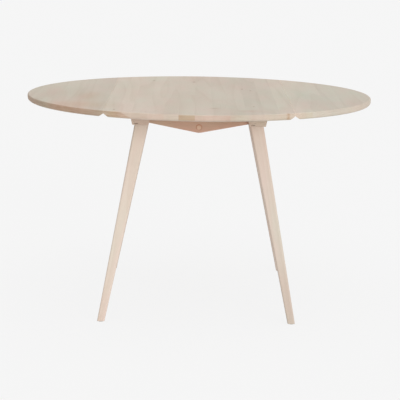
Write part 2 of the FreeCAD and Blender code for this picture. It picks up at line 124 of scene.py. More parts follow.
@dataclass(frozen=True)
class Relief:
    """Fine relief of a finish: its strength, and its depth in metres."""

    strength: float
    depth: float


class Field:
    """A node's output that takes part in Python expressions."""

    def __init__(self, graph: "Graph", socket: Optional[bpy.types.NodeSocket]) -> None:
        """Keep the socket and the graph that it belongs to."""
        self.graph = graph
        self.socket = socket

    def output(self, key: Key) -> "Field":
        """Another output of the same node."""
        return Field(self.graph, self.graph.find(self.socket.node.outputs, key))

    def __add__(self, other: "Operand") -> "Field":
        """Sum."""
        return self.graph.math("ADD", self, other)

    def __radd__(self, other: "Operand") -> "Field":
        """Sum with a number on the left."""
        return self.graph.math("ADD", other, self)

    def __sub__(self, other: "Operand") -> "Field":
        """Difference."""
        return self.graph.math("SUBTRACT", self, other)

    def __rsub__(self, other: "Operand") -> "Field":
        """Difference from a number on the left."""
        return self.graph.math("SUBTRACT", other, self)

    def __mul__(self, other: "Operand") -> "Field":
        """Product."""
        return self.graph.math("MULTIPLY", self, other)

    def __rmul__(self, other: "Operand") -> "Field":
        """Product with a number on the left."""
        return self.graph.math("MULTIPLY", other, self)

    def __truediv__(self, other: "Operand") -> "Field":
        """Quotient."""
        return self.graph.math("DIVIDE", self, other)

    def __rtruediv__(self, other: "Operand") -> "Field":
        """Quotient of a number on the left."""
        return self.graph.math("DIVIDE", other, self)

    def __pow__(self, other: "Operand") -> "Field":
        """Power."""
        return self.graph.math("POWER", self, other)

    def __rpow__(self, other: "Operand") -> "Field":
        """Power of a number on the left."""
        return self.graph.math("POWER", other, self)

    def __neg__(self) -> "Field":
        """Opposite."""
        return self.graph.math("MULTIPLY", self, -1.0)

    def __abs__(self) -> "Field":
        """Size without its sign."""
        return self.graph.math("ABSOLUTE", self, 0.0)


Operand = Union[Field, float, int]


class Graph:
    """Builds the nodes of one material, world or geometry tree."""

    def __init__(self, tree: bpy.types.NodeTree) -> None:
        """Start from an empty tree."""
        self.tree = tree
        tree.nodes.clear()

    @cached_property
    def coords(self) -> Field:
        """Position on the piece that wears the material, in metres."""
        return self.node("ShaderNodeTexCoord", None, None, "Object")

    def find(self, sockets: Any, key: Key) -> bpy.types.NodeSocket:
        """Find a socket.

        Args:
            sockets: A node's inputs or outputs.
            key: Place, identifier or name of the socket.

        Returns:
            The socket that fits the key.
        """
        if isinstance(key, int):
            return sockets[key]
        for socket in sockets:
            if socket.identifier == key:
                return socket
        return sockets[key]

    def node(self, kind: str, settings: Optional[Mapping[str, Any]] = None,
             inputs: Optional[Mapping[Key, Any]] = None, output: Key = 0) -> Field:
        """Add a node of any type.

        Args:
            kind: Blender's name of the node's type.
            settings: Properties of the node, set first; "stops" fills a colour ramp.
            inputs: Values or fields for its input sockets.
            output: Output that the result stands for.

        Returns:
            The chosen output as a field.
        """
        made = self.tree.nodes.new(kind)
        for name, value in (settings or {}).items():
            if name == "stops":
                self.fill_ramp(made.color_ramp, value)
            else:
                setattr(made, name, value)
        for key, value in (inputs or {}).items():
            socket = self.find(made.inputs, key)
            for one in value if isinstance(value, list) else [value]:
                if isinstance(one, Field):
                    self.tree.links.new(one.socket, socket)
                else:
                    socket.default_value = one
        return Field(self, self.find(made.outputs, output) if len(made.outputs) else None)

    @staticmethod
    def fill_ramp(ramp: bpy.types.ColorRamp, stops: Iterable[tuple[float, Rgba]]) -> None:
        """Give a ramp flat steps.

        Args:
            ramp: The ramp to fill.
            stops: Start and colour of each step, from 0 up.
        """
        ramp.interpolation = "CONSTANT"
        while len(ramp.elements) > 1:
            ramp.elements.remove(ramp.elements[-1])
        for number, (place, colour) in enumerate(stops):
            element = ramp.elements[0] if number == 0 else ramp.elements.new(place)
            element.position = place
            element.color = colour

    def math(self, operation: str, left: Operand, right: Operand) -> Field:
        """Join two values by a Math node."""
        return self.node("ShaderNodeMath", {"operation": operation}, {0: left, 1: right})

    def fract(self, value: Field) -> Field:
        """What is left of a value above its whole number."""
        return self.math("FRACT", value, 0.0)

    def clamp(self, value: Field) -> Field:
        """Value held between 0 and 1."""
        return self.node("ShaderNodeClamp", None, {"Value": value})

    def smooth(self, value: Field, low: float, high: float) -> Field:
        """Rise smoothly from 0 at the low value to 1 at the high one."""
        return self.node("ShaderNodeMapRange", {"interpolation_type": "SMOOTHSTEP"},
                         {"Value": value, "From Min": low, "From Max": high})

    def blend(self, factor: Operand, first: Any, second: Any, mode: str = "MIX") -> Field:
        """Mix two colours, given as values or fields, by the share of the second one."""
        return self.node("ShaderNodeMix", {"data_type": "RGBA", "blend_type": mode},
                         {"Factor_Float": factor, "A_Color": first, "B_Color": second}, "Result_Color")

    def times(self, colour: Field, tint: Any) -> Field:
        """Colour multiplied by a tint or a level."""
        return self.blend(1.0, colour, tint, "MULTIPLY")

    def vector(self, across: Operand, depth: Operand, along: Operand) -> Field:
        """Vector of three values."""
        return self.node("ShaderNodeCombineXYZ", None, {0: across, 1: depth, 2: along})

    def part(self, vector: Field, axis: str) -> Field:
        """Part of a vector along X, Y or Z."""
        return self.node("ShaderNodeSeparateXYZ", None, {0: vector}, axis)

    def noise(self, place: Field, noise: Noise) -> Field:
        """Noise with a value about 0.5 at a place in metres."""
        stretched = self.node("ShaderNodeVectorMath", {"operation": "MULTIPLY"}, {0: place, 1: noise.scale})
        return self.node("ShaderNodeTexNoise", None, {
            "Vector": stretched, "Scale": 1.0, "Detail": noise.detail, "Roughness": noise.roughness}, "Fac")

    def surface(self, relief: Relief, height: Field, inputs: Mapping[Key, Any]) -> None:
        """Close a material with a surface that carries a fine relief.

        Args:
            relief: Strength and depth of the relief.
            height: Height over the surface.
            inputs: Values or fields for the Principled node.
        """
        bump = self.node("ShaderNodeBump", None, {
            "Strength": relief.strength, "Distance": relief.depth, "Height": height})
        shader = self.node("ShaderNodeBsdfPrincipled", None, {**inputs, "Normal": bump})
        self.node("ShaderNodeOutputMaterial", None, {"Surface": shader})


def new_material(name: str) -> tuple[bpy.types.Material, Graph]:
    """Empty node material.

    Args:
        name: Name of the finish.

    Returns:
        The material and the graph of its nodes.
    """
    material = bpy.data.materials.new(name)
    material.use_nodes = True
    return material, Graph(material.node_tree)


@dataclass(frozen=True)
class Wood:
    """Bare pale hardwood, sanded smooth and left matt."""

    name: str
    grain: Triple
    pale: Rgb
    dark: Rgb
    seed: float = 0.0
    tone: float = 1.0
    rings: Noise = Noise((17.0, 17.0, 0.8), 1.0, 0.4)
    ring_count: float = 9.0
    ring_power: float = 2.2
    ring_edge: float = 0.86
    ring_share: float = 0.18
    line_count: float = 64.0
    line_power: float = 3.0
    line_share: float = 0.13
    fibres: Noise = Noise((620.0, 620.0, 14.0), 4.0, 0.62)
    fibre_share: float = 0.26
    clouds: Noise = Noise((9.0, 9.0, 2.2))
    cloud_level: float = 0.42
    cloud_share: float = 0.9
    flecks: Noise = Noise((430.0, 430.0, 42.0), 1.0)
    fleck_limits: Pair = (0.66, 0.76)
    fleck_share: float = 0.10
    drifts: Noise = Noise((13.0, 13.0, 4.0))
    drift: float = 0.14
    drift_hue: Triple = (1.0, -1.0, -0.5)
    roughness: float = 0.60
    fibre_roughness: float = 0.16
    late_roughness: float = 0.05
    specular: float = 0.34
    relief: Relief = Relief(0.5, 0.00006)
    fleck_relief: float = 0.6

    def material(self) -> bpy.types.Material:
        """Build the finish.

        Returns:
            The material, whose grain runs along the given direction.
        """
        material, graph = new_material(self.name)
        turn = Vector(self.grain).rotation_difference(Vector((0, 0, 1))).to_euler()
        place = graph.node("ShaderNodeMapping", {"vector_type": "POINT"}, {
            "Vector": graph.coords, "Rotation": tuple(turn), "Location": (self.seed, self.seed, 0.0)})
        rings = graph.noise(self.moved(graph, place, self.shift(graph)), self.rings)
        late = self.late_wood(graph, rings)
        line = graph.fract(rings * self.line_count) ** self.line_power
        fibre = graph.noise(place, self.fibres) - 0.5
        cloud = graph.noise(place, self.clouds) - self.cloud_level
        fleck = graph.smooth(graph.noise(place, self.flecks), *self.fleck_limits)
        figure = late * self.ring_share + line * self.line_share + fibre * self.fibre_share
        depth = graph.clamp(figure + cloud * self.cloud_share + fleck * self.fleck_share)
        colour = graph.blend(depth, linear(self.pale, self.tone), linear(self.dark, self.tone))
        sway = (graph.noise(place, self.drifts) - 0.5) * self.drift
        hue = graph.vector(*(1.0 + sway * share for share in self.drift_hue))
        graph.surface(self.relief, fibre - fleck * self.fleck_relief, {
            "Base Color": self.tint(graph, graph.times(colour, hue)),
            "Roughness": self.roughness + fibre * self.fibre_roughness + late * self.late_roughness,
            "Specular IOR Level": self.specular})
        return material

    def late_wood(self, graph: Graph, rings: Field) -> Field:
        """Broad bands that darken slowly and end in a softer edge."""
        wave = graph.fract(rings * self.ring_count)
        return wave ** self.ring_power * (1.0 - graph.smooth(wave, self.ring_edge, 1.0))

    def shift(self, graph: Graph) -> Operand:
        """How far the figure jumps at a place: not at all in a solid piece."""
        return 0.0

    def moved(self, graph: Graph, place: Field, shift: Operand) -> Field:
        """Position moved by a shift across and along the grain."""
        return graph.node("ShaderNodeVectorMath", {"operation": "ADD"},
                          {0: place, 1: graph.vector(shift, 0.0, shift)})

    def tint(self, graph: Graph, colour: Field) -> Field:
        """Colour of the piece after any local tint: unchanged in a plain piece."""
        return colour


@dataclass(frozen=True)
class LegWood(Wood):
    """Leg that grows paler upwards by a share for each metre, with painted shade, a warmer and darker tone,
    at its top under the bearer.
    """

    fade: float = 0.0
    fade_level: float = 0.3
    # Painted shade at the leg's top under the table top: its tint and the heights over which it sets in.
    top_shade_tint: Rgb = (251, 246, 244)
    top_shade_levels: Pair = (0.56, 0.70)

    def tint(self, graph: Graph, colour: Field) -> Field:
        """Change the leg's tone up its height, and paint shade at its top.

        Args:
            graph: Graph of the material.
            colour: Colour of the wood without the tint.

        Returns:
            The tinted colour.
        """
        height = graph.part(graph.coords, "Z")
        faded = graph.times(colour, 1.0 + (height - self.fade_level) * self.fade)
        # Painted shade: the leg darkens towards its top, under the bearer.
        crown = graph.smooth(height, *self.top_shade_levels)
        return graph.blend(crown, faded, linear(self.top_shade_tint), "MULTIPLY")


@dataclass(frozen=True)
class ApronWood(Wood):
    """Apron with painted shade in a ring around the rod's end, deepest above it."""

    rod_centre: Pair = (0.0, 0.0)
    rod_radius: float = 0.008
    # Painted shade around the rod: how far its middle sits above the rod's, its width and its tint.
    rod_shade_rise: float = 0.0015
    rod_shade_width: float = 0.004
    rod_shade_tint: Rgb = (235, 203, 184)

    def tint(self, graph: Graph, colour: Field) -> Field:
        """Paint shade around the rod's end.

        Args:
            graph: Graph of the material.
            colour: Colour of the wood without the painted shade.

        Returns:
            The tinted colour.
        """
        middle, level = self.rod_centre
        across = graph.part(graph.coords, "X") - middle
        above = graph.part(graph.coords, "Z") - (level + self.rod_shade_rise)
        away = (across * across + above * above) ** 0.5
        # Painted shade, deepest just above the rod's end.
        share = 1.0 - graph.smooth(away, self.rod_radius, self.rod_radius + self.rod_shade_width)
        return graph.blend(share, colour, linear(self.rod_shade_tint), "MULTIPLY")


class StaveEnd(Enum):
    """Tint that a stave's cut end takes at the rim."""

    WHITE = (255, 255, 255)
    COOL = (252, 253, 255)
    FAIR = (250, 245, 243)
    PALE = (244, 240, 236)
    PINK = (249, 235, 233)
    DUSK = (230, 214, 198)


@dataclass(frozen=True)
class Stave:
    """One glued stave of the top: its left edge, its tone and its cut end."""

    start: float
    tone: float
    end: StaveEnd


@dataclass(frozen=True)
class Blush:
    """Soft patch of another hue, or a small knot, at a place on the top."""

    centre: Pair
    reach: Pair
    colour: Rgb


@dataclass(frozen=True)
class Heart:
    """Brown heartwood in the rim: whole up to one place across the top, and gone at another."""

    whole: float = -0.258
    gone: float = -0.212
    softness: float = 0.1
    colour: Rgb = (233, 220, 209)


@dataclass(frozen=True)
class Knots:
    """Pin knots: cells per metre, radius, share of it that is core, cells picked, strength and colour."""

    per_metre: float = 9.0
    radius: float = 0.0024
    core: float = 0.3
    picks: Pair = (0.78, 0.80)
    strength: float = 0.5
    colour: Rgb = (150, 116, 88)


@dataclass(frozen=True)
class StaveWood(Wood):
    """Top glued up from staves that run front to back."""

    half_length: float = 0.6
    staves: tuple[Stave, ...] = ()
    stave_step: int = 7
    stave_shift: float = 5.0
    blushes: tuple[Blush, ...] = ()
    patches: Noise = Noise((70.0, 5.0, 70.0), 3.0)
    patch_least: float = 0.35
    patch_gain: float = 1.3
    rim_levels: Pair = (0.0, 1.0)
    # Tilts over which the cut end's tint fades: end grain colour, and painted shade where it reaches onto
    # the upper arris.
    rim_tilts: Pair = (0.55, 0.95)
    # Painted light and shade on the rim: factor at its lower edge and at its upper one.
    rim_light_and_shade: Pair = (1.095, 0.945)
    heart: Heart = Heart()
    streaks: Noise = Noise((24.0, 24.0, 420.0), 3.0, 0.6)
    streak_limits: Pair = (0.46, 0.74)
    streak_shares: Pair = (0.35, 1.0)
    streak_colour: Rgb = (226, 208, 196)
    joint_place: float = 0.3
    # Painted light at the leaf joints: its width, the share of it at full strength, and its strength.
    joint_light_width: float = 0.0019
    joint_light_core: float = 0.5
    joint_light_tone: float = 1.30
    knots: Knots = Knots()

    def stave_ramp(self, graph: Graph, colours: Iterable[Rgba]) -> Field:
        """Step through one colour for each stave.

        Args:
            graph: Graph of the material.
            colours: Colour of each stave from left to right.

        Returns:
            The colour of the stave at the position.
        """
        span = 2 * self.half_length
        stops = [(max(0.0, (stave.start + self.half_length) / span), colour)
                 for stave, colour in zip(self.staves, colours)]
        place = graph.part(graph.coords, "X") / span + 0.5
        return graph.node("ShaderNodeValToRGB", {"stops": stops}, {"Fac": place}, "Color")

    def shift(self, graph: Graph) -> Operand:
        """Cut each stave from another place in the log.

        Args:
            graph: Graph of the material.

        Returns:
            How far the figure of the stave is moved.
        """
        count = len(self.staves)
        levels = [grey((number * self.stave_step % count) / count) for number in range(count)]
        ramp = self.stave_ramp(graph, levels)
        return graph.node("ShaderNodeSeparateColor", None, {0: ramp}, 0) * self.stave_shift

    def rim_share(self, graph: Graph) -> Field:
        """Share of the cut end's tint: full on the upright rim, none on the flat faces; where it reaches
        onto the upper arris it is also painted shade.
        """
        level = graph.part(graph.coords.output("Normal"), "Z")
        return 1.0 - graph.smooth(abs(level), *self.rim_tilts)

    def rim_height(self, graph: Graph) -> Field:
        """Height on the rim, from 0 at its lower edge to 1 at its upper one."""
        low, high = self.rim_levels
        return (graph.part(graph.coords, "Z") - low) / (high - low)

    def heart_share(self, graph: Graph) -> Field:
        """Find the brown heart in the rim, which reaches further at the lower edge.

        Args:
            graph: Graph of the material.

        Returns:
            Share of the heart at the position.
        """
        heart = self.heart
        inside = (heart.gone - graph.part(graph.coords, "X")) / (heart.gone - heart.whole)
        return graph.smooth(inside - self.rim_height(graph), -heart.softness, heart.softness)

    def cut_end(self, graph: Graph, colour: Field) -> Field:
        """Colour the staves' cut ends, with fine streaks along the rim, painted light towards its lower
        edge and painted shade towards its upper arris.

        Args:
            graph: Graph of the material.
            colour: Colour of the wood without the tint.

        Returns:
            The colour on the rim.
        """
        ends = self.stave_ramp(graph, [linear(stave.end.value) for stave in self.staves])
        heart = self.heart_share(graph)
        ends = graph.blend(heart, ends, linear(self.heart.colour))
        streak = graph.smooth(graph.noise(graph.coords, self.streaks), *self.streak_limits)
        plain, rich = self.streak_shares
        share = streak * (plain + heart * (rich - plain))
        ends = graph.blend(share, ends, linear(self.streak_colour), "MULTIPLY")
        # Painted light and shade: the rim is lightened towards its lower edge and darkened towards its
        # upper arris.
        lower, upper = self.rim_light_and_shade
        painted_rim_light = lower + self.rim_height(graph) * (upper - lower)
        return graph.times(graph.times(colour, ends), painted_rim_light)

    def painted_joint_light(self, graph: Graph, colour: Field) -> Field:
        """Paint the arrises and gap walls beside the leaf joints paler: painted light over the shade in the
        joints.

        Args:
            graph: Graph of the material.
            colour: Colour of the wood without the painted light.

        Returns:
            The colour with the painted light at the joints.
        """
        away = abs(abs(graph.part(graph.coords, "X")) - self.joint_place)
        # Painted light lifts the wood beside each leaf joint.
        share = 1.0 - graph.smooth(away, self.joint_light_core * self.joint_light_width, self.joint_light_width)
        return graph.times(colour, 1.0 + share * (self.joint_light_tone - 1.0))

    def blushed(self, graph: Graph, colour: Field) -> Field:
        """Lay the soft patches over the top.

        Args:
            graph: Graph of the material.
            colour: Colour of the wood without the patches.

        Returns:
            The colour with the patches.
        """
        patchy = self.patch_least + graph.noise(graph.coords, self.patches) * self.patch_gain
        for blush in self.blushes:
            away = graph.node("ShaderNodeMapping", {"vector_type": "TEXTURE"}, {
                "Vector": graph.coords, "Location": (*blush.centre, 0.0),
                "Scale": (*blush.reach, ANY_HEIGHT)})
            distance = graph.node("ShaderNodeVectorMath", {"operation": "LENGTH"}, {0: away}, "Value")
            share = graph.clamp(patchy * (1.0 - graph.smooth(distance, 0.0, 1.0)))
            colour = graph.blend(share, colour, linear(blush.colour), "MULTIPLY")
        return colour

    def knotted(self, graph: Graph, colour: Field) -> Field:
        """Strew the pin knots over the top.

        Args:
            graph: Graph of the material.
            colour: Colour of the wood without knots.

        Returns:
            The colour with the knots.
        """
        knots = self.knots
        cells = graph.node("ShaderNodeTexVoronoi", {"voronoi_dimensions": "2D"},
                           {"Vector": graph.coords, "Scale": knots.per_metre}, "Distance")
        pick = graph.node("ShaderNodeSeparateColor", None, {0: cells.output("Color")}, 0)
        edge = knots.radius * knots.per_metre
        near = 1.0 - graph.smooth(cells, knots.core * edge, edge)
        share = near * graph.smooth(pick, *knots.picks) * knots.strength
        return graph.blend(share, colour, linear(knots.colour))

    def tint(self, graph: Graph, colour: Field) -> Field:
        """Add the staves' tones, their cut ends, painted light at the joints, patches and knots.

        Args:
            graph: Graph of the material.
            colour: Colour of the wood without the tint.

        Returns:
            The tinted colour.
        """
        tones = self.stave_ramp(graph, [grey(stave.tone) for stave in self.staves])
        colour = graph.times(colour, tones)
        colour = graph.blend(self.rim_share(graph), colour, self.cut_end(graph, colour))
        colour = self.blushed(graph, self.painted_joint_light(graph, colour))
        return self.knotted(graph, colour)


@dataclass(frozen=True)
class Mottled:
    """Plain surface with a faint mottle in its colour and gloss."""

    name: str
    colour: Rgb
    roughness: float
    metallic: float
    mottle: Noise
    mottle_limits: Pair
    mottle_roughness: float
    relief: Relief
    mottle_tone: float = 0.9

    def material(self) -> bpy.types.Material:
        """Build the finish.

        Returns:
            The material.
        """
        material, graph = new_material(self.name)
        mottle = graph.noise(graph.coords, self.mottle)
        colour = graph.blend(graph.smooth(mottle, *self.mottle_limits),
                             linear(darker(self.colour, self.mottle_tone)), linear(self.colour))
        graph.surface(self.relief, self.height(graph, mottle), {
            "Base Color": colour, "Metallic": self.metallic,
            "Roughness": self.roughness + (mottle - 0.5) * self.mottle_roughness})
        return material

    def height(self, graph: Graph, mottle: Field) -> Field:
        """Relief that follows the mottle."""
        return mottle


@dataclass(frozen=True)
class Nylon(Mottled):
    """Moulded off-white plastic of the foot glides."""

    colour: Rgb = (214, 210, 202)
    roughness: float = 0.5
    metallic: float = 0.0
    mottle: Noise = Noise((1800.0, 1800.0, 1800.0))
    mottle_limits: Pair = (0.35, 0.65)
    mottle_roughness: float = 0.2
    relief: Relief = Relief(0.3, 0.00004)


@dataclass(frozen=True)
class Steel(Mottled):
    """Zinc-plated steel with fine scratches."""

    colour: Rgb = (176, 176, 172)
    roughness: float = 0.36
    metallic: float = 1.0
    mottle: Noise = Noise((420.0, 420.0, 420.0))
    mottle_limits: Pair = (0.3, 0.7)
    mottle_roughness: float = 0.14
    relief: Relief = Relief(0.35, 0.00003)
    scratches: Noise = Noise((2600.0, 120.0, 2600.0))

    def height(self, graph: Graph, mottle: Field) -> Field:
        """Relief of fine scratches."""
        return graph.noise(graph.coords, self.scratches)


def dress(node: str, material: bpy.types.Material) -> None:
    """Give a CAD node its finish.

    Args:
        node: Name of the node.
        material: Finish for all of its faces.
    """
    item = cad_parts[node]
    if not item.material_slots:
        raise ValueError(f"node {node} has no material slot")
    for place in item.material_slots:
        place.link = "OBJECT"
        place.material = material
    LOG.info("dressed %s in %s", node, material.name)


def islands(node: str) -> list[np.ndarray]:
    """Split a CAD node into its separate solids.

    Args:
        node: Name of the node.

    Returns:
        The points of each solid, in the order of their places.
    """
    work = bmesh.new()
    work.from_mesh(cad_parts[node].data)
    bmesh.ops.remove_doubles(work, verts=work.verts, dist=MERGE_GAP)
    left = set(work.verts)
    groups = []
    while left:
        group = []
        queue = [left.pop()]
        while queue:
            vert = queue.pop()
            group.append(tuple(vert.co))
            for edge in vert.link_edges:
                other = edge.other_vert(vert)
                if other in left:
                    left.remove(other)
                    queue.append(other)
        groups.append(np.array(group))
    work.free()
    return sorted(groups, key=lambda points: tuple(points.mean(0).round(4)))


@dataclass(frozen=True)
class Seat:
    """Where a fastener starts and the way it points."""

    point: Vector
    axis: Vector

    @property
    def upright(self) -> bool:
        """Whether the fastener points straight up or down."""
        return abs(self.axis.z) >= UPRIGHT_SHARE


def screw_seat(points: np.ndarray) -> Seat:
    """Find the head of one screw.

    Args:
        points: Points of the screw's solid.

    Returns:
        Centre of the head's flat, and the direction from it into the wood.
    """
    centre = points.mean(0)
    spread = np.linalg.svd(points - centre, full_matrices=False)[2]
    axis = Vector(spread[0]).normalized()
    heights = (points - centre) @ np.array(axis)
    middle = (heights.max() + heights.min()) / 2
    radial = np.linalg.norm(points - centre - np.outer(heights, np.array(axis)), axis=1)
    if radial[heights > middle].max() > radial[heights < middle].max():
        axis, heights = -axis, -heights
    return Seat(Vector(centre) + axis * float(heights.min()), axis)


def pin_seat(points: np.ndarray) -> Seat:
    """Middle of one headed pin, which lies along Y."""
    return Seat(Vector((points.max(0) + points.min(0)) / 2), Vector((0, 1, 0)))


def screw_seats(node: str) -> list[Seat]:
    """Seats of a CAD node's screws."""
    return [screw_seat(points) for points in islands(node)]


def pin_seats(node: str) -> list[Seat]:
    """Seats of a CAD node's headed pins."""
    return [pin_seat(points) for points in islands(node)]


class Join(Enum):
    """How closed shapes are combined."""

    UNION = "UNION"
    CUT = "DIFFERENCE"


class FastenerTree:
    """Geometry tree that sets one shape on every seat of a point mesh."""

    def __init__(self, name: str, sizes: Mapping[str, float]) -> None:
        """Make the tree's inputs and the node that reads them.

        Args:
            name: Name of the tree.
            sizes: Name and default of each size, in metres.
        """
        self.tree = bpy.data.node_groups.new(name, "GeometryNodeTree")
        face = self.tree.interface
        face.new_socket("Seats", in_out="INPUT", socket_type="NodeSocketGeometry")
        self.keys = {}
        for size, default in sizes.items():
            item = face.new_socket(size, in_out="INPUT", socket_type="NodeSocketFloat")
            item.default_value = default
            self.keys[size] = item.identifier
        finish = face.new_socket("Finish", in_out="INPUT", socket_type="NodeSocketMaterial")
        self.keys["Finish"] = finish.identifier
        face.new_socket("Fasteners", in_out="OUTPUT", socket_type="NodeSocketGeometry")
        self.graph = Graph(self.tree)
        self.seats = self.graph.node("NodeGroupInput", None, None, "Seats")

    def size(self, name: str) -> Field:
        """One of the tree's inputs."""
        return self.seats.output(name)

    def block(self, across: Field, depth: Field, height: Field) -> Field:
        """Box of three sizes about the origin."""
        size = self.graph.vector(across, depth, height)
        return self.graph.node("GeometryNodeMeshCube", None, {"Size": size}, "Mesh")

    def raised(self, shape: Field, height: Field) -> Field:
        """Shape moved up by a height."""
        lift = self.graph.vector(0.0, 0.0, height)
        return self.graph.node("GeometryNodeTransform", None, {"Geometry": shape, "Translation": lift})

    def tube(self, sides: int, radius: Field, low: Field, high: Field) -> Field:
        """Make a cylinder up Z.

        Args:
            sides: Number of faces around it.
            radius: Its radius.
            low: Height of its lower end.
            high: Height of its upper end.

        Returns:
            The cylinder's mesh.
        """
        length = high - low
        bar = self.graph.node("GeometryNodeMeshCylinder", None, {
            "Vertices": sides, "Radius": radius, "Depth": length}, "Mesh")
        return self.raised(bar, length * 0.5 + low)

    def combine(self, join: Join, first: Optional[Field], others: list[Field]) -> Field:
        """Combine closed shapes.

        Args:
            join: How they are combined.
            first: Shape that is cut, or None for a union.
            others: Cutters, or the shapes that are joined.

        Returns:
            The resulting mesh.
        """
        inputs: dict[Key, Any] = {"Mesh 2": others}
        if first is not None:
            inputs["Mesh 1"] = first
        return self.graph.node("GeometryNodeMeshBoolean", {"operation": join.value, "solver": "EXACT"},
                               inputs, "Mesh")

    def set_out(self, shape: Field) -> None:
        """Place a shape on every seat, turned to the seat's axis.

        Args:
            shape: Shape made up Z from the seat.
        """
        graph = self.graph
        axis = graph.node("GeometryNodeInputNamedAttribute", {"data_type": "FLOAT_VECTOR"},
                          {"Name": "axis"}, "Attribute")
        turn = graph.node("FunctionNodeAlignRotationToVector", {"axis": "Z"}, {"Vector": axis})
        copies = graph.node("GeometryNodeInstanceOnPoints", None, {
            "Points": self.seats, "Instance": shape, "Rotation": turn})
        real = graph.node("GeometryNodeRealizeInstances", None, {"Geometry": copies})
        dressed = graph.node("GeometryNodeSetMaterial", None, {
            "Geometry": real, "Material": self.size("Finish")})
        graph.node("NodeGroupOutput", None, {"Fasteners": dressed})


@dataclass(frozen=True)
class ScrewSize:
    """Sizes of a countersunk screw with a cross recess, in metres."""

    head: float = 0.007
    shank: float = 0.0035
    length: float = 0.014
    recess: float = 0.004
    blade: float = 0.0009

    def inputs(self) -> dict[str, float]:
        """Values for the inputs of the screws' tree, by name."""
        return {size.capitalize(): value for size, value in asdict(self).items()}


class ScrewTree(FastenerTree):
    """Countersunk wood screws with a cross recess."""

    head_sides = 28
    shank_sides = 14
    core_share = 0.46
    recess_depth = 0.62

    def __init__(self) -> None:
        """Build the tree."""
        super().__init__("countersunk_screws", ScrewSize().inputs())
        head, shank, across, blade = (self.size(name) for name in ("Head", "Shank", "Recess", "Blade"))
        sink = (head - shank) * 0.5
        cone = self.graph.node("GeometryNodeMeshCone", None, {
            "Vertices": self.head_sides, "Radius Top": shank * 0.5, "Radius Bottom": head * 0.5,
            "Depth": sink}, "Mesh")
        core = self.tube(self.shank_sides, shank * self.core_share, sink * 0.5, self.size("Length"))
        deep = across * self.recess_depth
        blades = [self.block(across, blade, deep), self.block(blade, across, deep)]
        cross = self.combine(Join.UNION, None, blades)
        self.set_out(self.combine(Join.CUT, self.combine(Join.UNION, None, [cone, core]), [cross]))


class PinTree(FastenerTree):
    """Headed pins with a low dome at each end."""

    dome_sides = 28
    dome_rings = 14
    shank_sides = 20
    overlap_share = 0.4
    waste_share = 2.0

    def __init__(self) -> None:
        """Build the tree."""
        super().__init__("headed_pins", {"Head": 0.010, "Crown": 0.0016, "Shank": 0.006, "Grip": 0.0068})
        graph = self.graph
        radius = self.size("Head") * 0.5
        crown = self.size("Crown")
        half = self.size("Grip") * 0.5
        wide = self.size("Head") * self.waste_share
        ball = graph.node("GeometryNodeMeshUVSphere", None, {
            "Segments": self.dome_sides, "Rings": self.dome_rings, "Radius": 1.0}, "Mesh")
        heads = []
        for sign in (-1.0, 1.0):
            dome = graph.node("GeometryNodeTransform", None, {
                "Geometry": ball, "Scale": graph.vector(radius, radius, crown),
                "Translation": graph.vector(0.0, 0.0, half * sign)})
            waste = self.raised(self.block(wide, wide, wide), (half - wide * 0.5) * sign)
            heads.append(self.combine(Join.CUT, dome, [waste]))
        end = half + crown * self.overlap_share
        shank = self.tube(self.shank_sides, self.size("Shank") * 0.5, -end, end)
        self.set_out(self.combine(Join.UNION, None, heads + [shank]))


def set_fasteners(name: str, tree: FastenerTree, seats: list[Seat], sizes: Mapping[str, float],
                  finish: bpy.types.Material, body: str, node: str) -> None:
    """Make the fasteners of one body and let them stand for a CAD node.

    Args:
        name: Name of the new piece.
        tree: Shape of the fastener.
        seats: Where they sit.
        sizes: Sizes that differ from the tree's own.
        finish: Material.
        body: Body that carries them.
        node: CAD node that they stand for.
    """
    points = bpy.data.meshes.new(name + "_seats")
    points.from_pydata([seat.point for seat in seats], [], [])
    axes = points.attributes.new("axis", "FLOAT_VECTOR", "POINT")
    for number, seat in enumerate(seats):
        axes.data[number].vector = seat.axis
    item = bpy.data.objects.new(name, points)
    bpy.context.scene.collection.objects.link(item)
    modifier = item.modifiers.new(tree.tree.name, "NODES")
    modifier.node_group = tree.tree
    for size, value in sizes.items():
        modifier[tree.keys[size]] = value
    modifier[tree.keys["Finish"]] = finish
    graph = bpy.context.evaluated_depsgraph_get()
    mesh = bpy.data.meshes.new_from_object(item.evaluated_get(graph))
    item.modifiers.remove(modifier)
    item.data = mesh
    mesh.name = name
    mesh.set_sharp_from_angle(angle=math.radians(SHARP_ANGLE))
    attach(item, body)
    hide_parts(node)
    LOG.info("made %s: %d fasteners on %s", name, len(seats), body)


@dataclass
class OvalTop:
    """Middle board and two drop leaves, glued up from staves."""

    wood: StaveWood

    def build(self) -> None:
        """Dress the three boards in one finish, so that the staves run on across the joints."""
        material = self.wood.material()
        for node in ("centre_panel", "leaf_left", "leaf_right"):
            dress(node, material)


@dataclass(frozen=True)
class LegLook:
    """What differs from leg to leg: its tone, its place in the log and how it pales upwards."""

    tone: float
    seed: float
    fade: float


